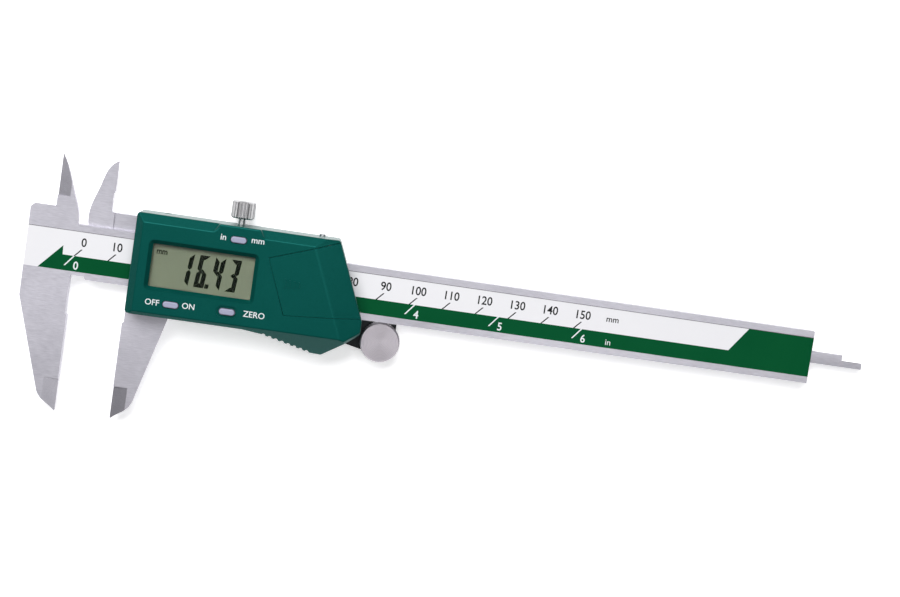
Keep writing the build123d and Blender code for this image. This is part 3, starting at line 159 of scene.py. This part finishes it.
def text_mesh(word, thickness, weight=0.0):
    """A mesh of the word at font size 1, centred on its own box, with its base on z = 0."""
    curve = bpy.data.curves.new("word", "FONT")
    curve.body = word
    curve.extrude = thickness / 2
    curve.offset = weight
    curve.resolution_u = 4
    holder = bpy.data.objects.new("word", curve)
    bpy.context.scene.collection.objects.link(holder)
    bpy.context.view_layer.update()
    evaluated = holder.evaluated_get(bpy.context.evaluated_depsgraph_get())
    mesh = bpy.data.meshes.new_from_object(evaluated)
    bpy.data.objects.remove(holder)
    bpy.data.curves.remove(curve)
    xs = [v.co.x for v in mesh.vertices]
    ys = [v.co.y for v in mesh.vertices]
    centre = Vector(((min(xs) + max(xs)) / 2, (min(ys) + max(ys)) / 2, -thickness / 2))
    mesh.transform(Matrix.Translation(-centre))
    return mesh


def height_of(mesh):
    ys = [v.co.y for v in mesh.vertices]
    return max(ys) - min(ys)


CAPITAL = height_of(text_mesh("H", 0.0))


def add_word(bm, word, place, height, raise_by, squeeze=1.0, weight=0.0):
    """Adds a word in raised print, height high for its capitals, with its middle at place (metres)."""
    size = height * MM / CAPITAL
    thickness = (PRINT_SINK + raise_by) * MM
    mesh = text_mesh(word, 1.0, weight)
    scale = Matrix.Diagonal((size * squeeze, size, thickness, 1.0))
    move = Matrix.Translation(Vector((place.x, place.y, place.z - PRINT_SINK * MM)))
    mesh.transform(move @ scale)
    bm.from_mesh(mesh)
    bpy.data.meshes.remove(mesh)


# ---------------------------------------------------------------- materials

def new_material(name):
    material = bpy.data.materials.new(name)
    material.use_nodes = True
    return material, material.node_tree, material.node_tree.nodes["Principled BSDF"]


def noise(tree, scale, detail=3.0):
    """A noise value over the piece, with scale cells per metre along each axis."""
    place = tree.nodes.new("ShaderNodeTexCoord")
    mapping = tree.nodes.new("ShaderNodeMapping")
    mapping.inputs["Scale"].default_value = scale
    pattern = tree.nodes.new("ShaderNodeTexNoise")
    pattern.inputs["Scale"].default_value = 1.0
    pattern.inputs["Detail"].default_value = detail
    tree.links.new(place.outputs["Object"], mapping.inputs["Vector"])
    tree.links.new(mapping.outputs["Vector"], pattern.inputs["Vector"])
    return pattern.outputs["Fac"]


def spread(tree, value, low, high, from_low=0.3, from_high=0.7):
    """The value mapped from its usual spread to low..high."""
    node = tree.nodes.new("ShaderNodeMapRange")
    node.inputs["From Min"].default_value = from_low
    node.inputs["From Max"].default_value = from_high
    node.inputs["To Min"].default_value = low
    node.inputs["To Max"].default_value = high
    tree.links.new(value, node.inputs["Value"])
    return node.outputs["Result"]


def mixed(tree, factor, first, second):
    """A colour from first to second by factor; either may be a colour or a socket."""
    node = tree.nodes.new("ShaderNodeMix")
    node.data_type = "RGBA"
    tree.links.new(factor, node.inputs["Factor"])
    for name, colour in (("A", first), ("B", second)):
        socket = [s for s in node.inputs if s.name == name and s.type == "RGBA"][0]
        if isinstance(colour, bpy.types.NodeSocket):
            tree.links.new(colour, socket)
        else:
            socket.default_value = (*colour, 1.0)
    return [s for s in node.outputs if s.type == "RGBA"][0]


def bump(tree, height, distance, strength):
    """A normal roughened by the height value."""
    node = tree.nodes.new("ShaderNodeBump")
    node.inputs["Strength"].default_value = strength
    node.inputs["Distance"].default_value = distance
    tree.links.new(height, node.inputs["Height"])
    return node.outputs["Normal"]


def finish_material(name, dark, light, grain, cloud, rough, relief, detail=3.0, **sockets):
    """A material whose fine grain sets roughness and relief, and whose broad cloud shifts its colour."""
    material, tree, shader = new_material(name)
    fine = noise(tree, grain, detail)
    broad = noise(tree, cloud)
    share = tree.nodes.new("ShaderNodeMath")
    share.operation = "ADD"
    tree.links.new(spread(tree, fine, 0.0, 0.6), share.inputs[0])
    tree.links.new(spread(tree, broad, 0.0, 0.4), share.inputs[1])
    tree.links.new(mixed(tree, share.outputs[0], dark, light), shader.inputs["Base Color"])
    tree.links.new(spread(tree, fine, *rough), shader.inputs["Roughness"])
    distance, strength = relief
    tree.links.new(bump(tree, fine, distance, strength), shader.inputs["Normal"])
    for socket, value in sockets.items():
        shader.inputs[socket.replace("_", " ")].default_value = value
    return material


ALONG_X = (130, 7000, 7000)
GROUND = (500, 9000, 9000)
EVEN = (9000, 9000, 9000)
CLOUD = (60, 60, 60)


def steel(name, dark, light, grain, rough, relief, anisotropic):
    return finish_material(name, dark, light, grain, CLOUD, rough, relief,
                           Metallic=1.0, Anisotropic=anisotropic)


def plastic(name, dark, light, rough, relief=(4e-6, 0.25), grain=EVEN, **sockets):
    return finish_material(name, dark, light, grain, CLOUD, rough, relief, **sockets)


def clear_acrylic(name):
    """Clear plastic that lets the lamps through; its low index keeps its reflections faint."""
    material, tree, shader = new_material(name)
    shader.inputs["Transmission Weight"].default_value = 1.0
    shader.inputs["IOR"].default_value = 1.12
    shader.inputs["Specular IOR Level"].default_value = 0.1
    shader.inputs["Base Color"].default_value = (0.96, 0.98, 0.97, 1.0)
    smudge = noise(tree, (260, 260, 260), 4.0)
    tree.links.new(spread(tree, smudge, 0.02, 0.06), shader.inputs["Roughness"])
    through = tree.nodes.new("ShaderNodeBsdfTransparent")
    through.inputs["Color"].default_value = (0.95, 0.97, 0.96, 1.0)
    rays = tree.nodes.new("ShaderNodeLightPath")
    mix = tree.nodes.new("ShaderNodeMixShader")
    output = tree.nodes["Material Output"]
    tree.links.new(rays.outputs["Is Shadow Ray"], mix.inputs["Fac"])
    tree.links.new(shader.outputs["BSDF"], mix.inputs[1])
    tree.links.new(through.outputs["BSDF"], mix.inputs[2])
    tree.links.new(mix.outputs["Shader"], output.inputs["Surface"])
    return material


GREEN_DARK = (0.0008, 0.047, 0.038)
GREEN_LIGHT = (0.0016, 0.061, 0.050)

TEAL = (0.12, 1.0, 0.93, 1.0)     # tint of the green plastics' reflections

FINISHES = {
    "ground_steel": steel("ground_steel", (0.43, 0.42, 0.47), (0.63, 0.615, 0.675), GROUND,
                          (0.34, 0.46), (2e-6, 0.3), 0.35),
    "bright_steel": steel("bright_steel", (0.50, 0.50, 0.52), (0.66, 0.66, 0.68), EVEN,
                          (0.22, 0.34), (2e-6, 0.2), 0.0),
    "knurled_steel": steel("knurled_steel", (0.50, 0.50, 0.51), (0.66, 0.65, 0.66), EVEN,
                           (0.25, 0.40), (3e-6, 0.3), 0.0),
    "roller_steel": steel("roller_steel", (0.44, 0.41, 0.45), (0.60, 0.565, 0.605), EVEN,
                          (0.30, 0.42), (3e-6, 0.3), 0.3),
    "black_metal": steel("black_metal", (0.012, 0.014, 0.015), (0.035, 0.038, 0.04), EVEN,
                         (0.35, 0.5), (3e-6, 0.3), 0.0),
    "battery_steel": steel("battery_steel", (0.55, 0.55, 0.56), (0.68, 0.68, 0.69), ALONG_X,
                           (0.2, 0.32), (2e-6, 0.2), 0.2),
    "contact_plating": steel("contact_plating", (0.56, 0.42, 0.16), (0.74, 0.58, 0.26), EVEN,
                             (0.22, 0.34), (2e-6, 0.2), 0.0),
    "brass": steel("brass", (0.52, 0.36, 0.13), (0.66, 0.48, 0.20), EVEN,
                   (0.25, 0.38), (2e-6, 0.2), 0.0),
    "green_plastic": plastic("green_plastic", GREEN_DARK, GREEN_LIGHT, (0.24, 0.34),
                             (3e-6, 0.12), Specular_IOR_Level=0.35,
                             Specular_Tint=TEAL),
    "key_plastic": plastic("key_plastic", (0.31, 0.315, 0.44), (0.38, 0.385, 0.52), (0.4, 0.5)),
    "printed_label": plastic("printed_label", (0.78, 0.775, 0.805), (0.82, 0.815, 0.84), (0.3, 0.4)),
    "rear_label_film": steel("rear_label_film", (0.50, 0.51, 0.53), (0.62, 0.63, 0.65), ALONG_X,
                             (0.3, 0.42), (2e-6, 0.3), 0.3),
    "circuit_laminate": plastic("circuit_laminate", (0.004, 0.06, 0.02), (0.01, 0.10, 0.035), (0.3, 0.42)),
    "lcd_glass": plastic("lcd_glass", (0.084, 0.094, 0.060), (0.098, 0.109, 0.071), (0.3, 0.36),
                         (1e-6, 0.1)),
    "white_film": plastic("white_film", (0.68, 0.68, 0.62), (0.76, 0.76, 0.70), (0.2, 0.3)),
    "white_plastic": plastic("white_plastic", (0.70, 0.70, 0.67), (0.78, 0.78, 0.75), (0.4, 0.5)),
    "conductive_rubber": plastic("conductive_rubber", (0.02, 0.02, 0.02), (0.08, 0.07, 0.07), (0.6, 0.75),
                                 grain=(200, 200, 40000)),
    "black_foam": plastic("black_foam", (0.008, 0.008, 0.008), (0.02, 0.02, 0.02), (0.85, 0.95),
                          (2e-5, 0.6)),
    "black_epoxy": plastic("black_epoxy", (0.006, 0.006, 0.006), (0.014, 0.014, 0.014), (0.12, 0.22)),
    "ceramic": plastic("ceramic", (0.28, 0.19, 0.11), (0.40, 0.28, 0.17), (0.45, 0.6)),
    "black_plastic": plastic("black_plastic", (0.01, 0.01, 0.01), (0.022, 0.022, 0.022), (0.4, 0.52)),
    "clear_window": clear_acrylic("clear_window"),
}
LABEL_GREEN = plastic("label_green", (0.001, 0.060, 0.014), (0.003, 0.078, 0.019), (0.3, 0.4),
                      Specular_IOR_Level=0.15, Specular_Tint=TEAL)
BLACK_INK = plastic("black_ink", (0.006, 0.006, 0.007), (0.014, 0.014, 0.016), (0.4, 0.5),
                    Specular_IOR_Level=0.1)
BORDER_GREY = plastic("border_grey", (0.10, 0.10, 0.11), (0.16, 0.16, 0.17), (0.4, 0.5),
                      Specular_IOR_Level=0.1)
WHITE_INK = plastic("white_ink", (0.72, 0.76, 0.78), (0.80, 0.84, 0.86), (0.4, 0.5))
DISPLAY_BLACK = plastic("display_black", (0.003, 0.004, 0.003), (0.006, 0.007, 0.005), (0.5, 0.6),
                        Specular_IOR_Level=0.0)


def turned_face(material, node, ring_width):
    """Adds fine turned rings round a node's own axis to the material's colour and roughness."""
    tree = material.node_tree
    shader = tree.nodes["Principled BSDF"]
    corners = [Vector(corner) for corner in node.bound_box]
    centre = (corners[0] + corners[6]) / 2
    place = tree.nodes.new("ShaderNodeTexCoord")
    mapping = tree.nodes.new("ShaderNodeMapping")
    mapping.inputs["Location"].default_value = -centre
    rings = tree.nodes.new("ShaderNodeTexWave")
    rings.wave_type = "RINGS"
    rings.rings_direction = "Z"
    rings.inputs["Scale"].default_value = math.tau / 20 / ring_width
    rings.inputs["Distortion"].default_value = 1.5
    tree.links.new(place.outputs["Object"], mapping.inputs["Vector"])
    tree.links.new(mapping.outputs["Vector"], rings.inputs["Vector"])
    tree.links.new(mixed(tree, rings.outputs["Fac"], (0.42, 0.39, 0.43), (0.58, 0.545, 0.585)),
                   shader.inputs["Base Color"])
    tree.links.new(spread(tree, rings.outputs["Fac"], 0.26, 0.44, 0.0, 1.0), shader.inputs["Roughness"])


turned_face(FINISHES["roller_steel"], NODES["thumb_roller"], 0.4 * MM)

for row in frame["record"]["subparts"]:
    node = NODES[row["node"]]
    node.data.materials.clear()
    node.data.materials.append(FINISHES[row["material_slot"]])


# ---------------------------------------------------------------- the beam's label

def green_band():
    label_low, label_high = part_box("scale_label")
    top = (label_high.y - label_low.y) / MM
    end = label_high.x / MM
    bm = bmesh.new()
    add_label_slab(bm, (ARROW[0], (end, 0.0), (end, top), (END_SLANT[1], top), (END_SLANT[0], BAND_HEIGHT),
                        ARROW[2], ARROW[1]), GREEN_RAISE)
    return new_piece("scale_green", bm, "beam", LABEL_GREEN)


def add_tick(bm, u, lean_and_height):
    lean, height = lean_and_height
    half = TICK_WIDTH / 2
    add_label_slab(bm, ((u - half, BAND_HEIGHT), (u + half, BAND_HEIGHT),
                        (u + half + lean, BAND_HEIGHT + height), (u - half + lean, BAND_HEIGHT + height)),
                   INK_RAISE)


def millimetre_print():
    bm = bmesh.new()
    for value in range(0, SCALE_MM + 1, 10):
        add_tick(bm, value, MM_TICK)
        place = label_point(value + MM_FIGURE_PLACE[0], MM_FIGURE_PLACE[1])
        add_word(bm, str(value), place, MM_FIGURE_HEIGHT, INK_RAISE, 0.92, FIGURE_WEIGHT)
    add_word(bm, "mm", label_point(*MM_UNIT_PLACE), UNIT_HEIGHT, INK_RAISE, 1.0, FIGURE_WEIGHT)
    return new_piece("scale_millimetres", bm, "beam", BLACK_INK)


def inch_print():
    bm = bmesh.new()
    for value in range(SCALE_INCH + 1):
        add_tick(bm, value * INCH, INCH_TICK)
        place = label_point(value * INCH + INCH_FIGURE_PLACE[0], INCH_FIGURE_PLACE[1])
        add_word(bm, str(value), place, INCH_FIGURE_HEIGHT, INK_RAISE, 0.92, FIGURE_WEIGHT)
    add_word(bm, "in", label_point(*INCH_UNIT_PLACE), UNIT_HEIGHT, INK_RAISE)
    return new_piece("scale_inches", bm, "beam", WHITE_INK)


def label_border():
    label_low, label_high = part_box("scale_label")
    top = (label_high.y - label_low.y) / MM
    left, right = label_low.x / MM, label_high.x / MM
    bm = bmesh.new()
    add_label_slab(bm, ((left, top - BORDER_WIDTH), (right, top - BORDER_WIDTH), (right, top), (left, top)),
                   INK_RAISE)
    return new_piece("label_border", bm, "beam", BORDER_GREY)


green_band()
label_border()
millimetre_print()
inch_print()


# ---------------------------------------------------------------- the display

def segment_bars():
    """Corners of each of the seven bars, in mm from the figure's lower left corner, before the slant."""
    half, gap = DIGIT_BAR / 2, DIGIT_GAP
    left, right = half, DIGIT_WIDTH - half
    low, middle, high = half, DIGIT_HEIGHT / 2, DIGIT_HEIGHT - half

    def upright(x, side, end, up):
        return ((x, middle + up * gap), (x + side * half, middle + up * (gap + half)),
                (x + side * half, end + up * (half - gap)), (x - side * half, end - up * (half + gap)),
                (x - side * half, middle + up * (gap + half)))

    def level(y, up):
        return ((left - half + gap, y + up * half), (right + half - gap, y + up * half),
                (right - half - gap, y - up * half), (left + half + gap, y - up * half))

    return {
        "a": level(high, 1),
        "b": upright(right, 1, high, 1),
        "c": upright(right, 1, low, -1),
        "d": level(low, -1),
        "e": upright(left, -1, low, -1),
        "f": upright(left, -1, high, 1),
        "g": ((left + gap, middle), (left + half + gap, middle + half), (right - half - gap, middle + half),
              (right - gap, middle), (right - half - gap, middle - half), (left + half + gap, middle - half)),
    }


def display_figures():
    glass_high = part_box("lcd_panel")[1]
    window_low, window_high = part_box("display_window")
    middle = (window_low.y + window_high.y) / 2 / MM + DIGITS_ABOVE
    bars = segment_bars()
    digits = [c for c in READING if c != "."]
    bm = bmesh.new()
    first = window_high.x / MM - DIGIT_RIGHT - DIGIT_PITCH * len(digits)
    lean = math.tan(math.radians(DIGIT_SLANT))
    base = middle - DIGIT_HEIGHT / 2

    def put(corners, left):
        flat = [((left + x + y * lean) * MM, (base + y) * MM) for x, y in corners]
        add_slab(bm, flat, glass_high.z - PRINT_SINK * MM, glass_high.z + INK_RAISE * MM)

    for index, digit in enumerate(digits):
        for name in SEGMENTS[digit]:
            put(bars[name], first + index * DIGIT_PITCH)
    dot = READING.index(".")
    left = first + dot * DIGIT_PITCH - (DIGIT_PITCH - DIGIT_WIDTH) / 2 - DIGIT_BAR * DOT_SIZE / 2
    dot_width = DIGIT_BAR * DOT_SIZE
    put(((0, 0), (dot_width, 0), (dot_width, DIGIT_BAR), (0, DIGIT_BAR)), left)
    right, above = DISPLAY_UNIT_PLACE
    unit = Vector((window_low.x + right * MM, window_high.y + above * MM, glass_high.z))
    add_word(bm, "mm", unit, DISPLAY_UNIT_HEIGHT, INK_RAISE, 0.85, DISPLAY_UNIT_WEIGHT)
    return new_piece("display_figures", bm, "slider", DISPLAY_BLACK)


display_figures()


# ---------------------------------------------------------------- key lettering

def key_lettering():
    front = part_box("housing")[1].z
    bm = bmesh.new()
    for word, key, right, above, height in KEY_WORDS:
        low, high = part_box(key)
        place = Vector(((low.x + high.x) / 2 + right * MM, (low.y + high.y) / 2 + above * MM, front))
        add_word(bm, word, place, height, INK_RAISE, 1.0, KEY_WORD_WEIGHT)
    return new_piece("key_lettering", bm, "slider", WHITE_INK)


key_lettering()


# ---------------------------------------------------------------- floor, lamps, world, camera

def add_floor():
    bm = bmesh.new()
    bmesh.ops.create_grid(bm, x_segments=8, y_segments=8, size=3.0)
    mesh = bpy.data.meshes.new("floor")
    bm.to_mesh(mesh)
    bm.free()
    floor = bpy.data.objects.new("floor", mesh)
    floor.location = (0.1, 0.0, cad_box[0].z)
    bpy.context.scene.collection.objects.link(floor)
    material, tree, shader = new_material("floor")
    tone = noise(tree, (3, 3, 3))
    tree.links.new(mixed(tree, tone, (0.92, 0.92, 0.93), (0.95, 0.95, 0.96)), shader.inputs["Base Color"])
    shader.inputs["Roughness"].default_value = 0.9
    shader.inputs["Specular IOR Level"].default_value = 0.1
    shader.inputs["Emission Color"].default_value = (1.0, 1.0, 1.0, 1.0)
    shader.inputs["Emission Strength"].default_value = 0.5
    mesh.materials.append(material)


def add_lamp(name, place, aim, size, power, colour=(1.0, 1.0, 1.0)):
    light = bpy.data.lights.new(name, "AREA")
    light.shape = "RECTANGLE"
    light.size, light.size_y = size
    light.energy = power
    light.color = colour
    lamp = bpy.data.objects.new(name, light)
    lamp.location = place
    lamp.rotation_euler = (Vector(aim) - Vector(place)).to_track_quat("-Z", "Y").to_euler()
    bpy.context.scene.collection.objects.link(lamp)


def add_world(colour, strength):
    world = bpy.data.worlds.new("studio")
    world.use_nodes = True
    background = world.node_tree.nodes["Background"]
    background.inputs["Color"].default_value = (*colour, 1.0)
    background.inputs["Strength"].default_value = strength
    bpy.context.scene.world = world


def add_camera():
    left, above, roll = (math.radians(a) for a in (CAMERA_LEFT, CAMERA_ABOVE, CAMERA_ROLL))
    back = Vector((-math.sin(left) * math.cos(above), math.sin(above), math.cos(left) * math.cos(above)))
    right = Vector((0, 1, 0)).cross(back).normalized()
    up = back.cross(right)
    turned_right = right * math.cos(roll) + up * math.sin(roll)
    turned_up = up * math.cos(roll) - right * math.sin(roll)
    rotation = Matrix((turned_right, turned_up, back)).transposed().to_4x4()
    data = bpy.data.cameras.new("camera")
    data.lens = CAMERA_LENS
    data.clip_start = 0.01
    camera = bpy.data.objects.new("camera", data)
    camera.matrix_world = Matrix.Translation(AIM + back * CAMERA_DISTANCE) @ rotation
    bpy.context.scene.collection.objects.link(camera)
    bpy.context.scene.camera = camera


add_floor()
add_lamp("key", (-0.30, 0.85, 1.25), (0.1, 0.0, 0.0), (1.5, 0.8), 28)
add_lamp("front", (0.05, -0.1, 1.5), (0.1, 0.0, 0.0), (1.4, 1.3), 3.0)
add_lamp("strip", (0.65, 0.25, 1.3), (0.1, 0.0, 0.0), (0.16, 1.2), 2.4)
add_world((0.96, 0.97, 1.0), 0.09)
add_camera()
bpy.context.scene.view_settings.view_transform = "Standard"
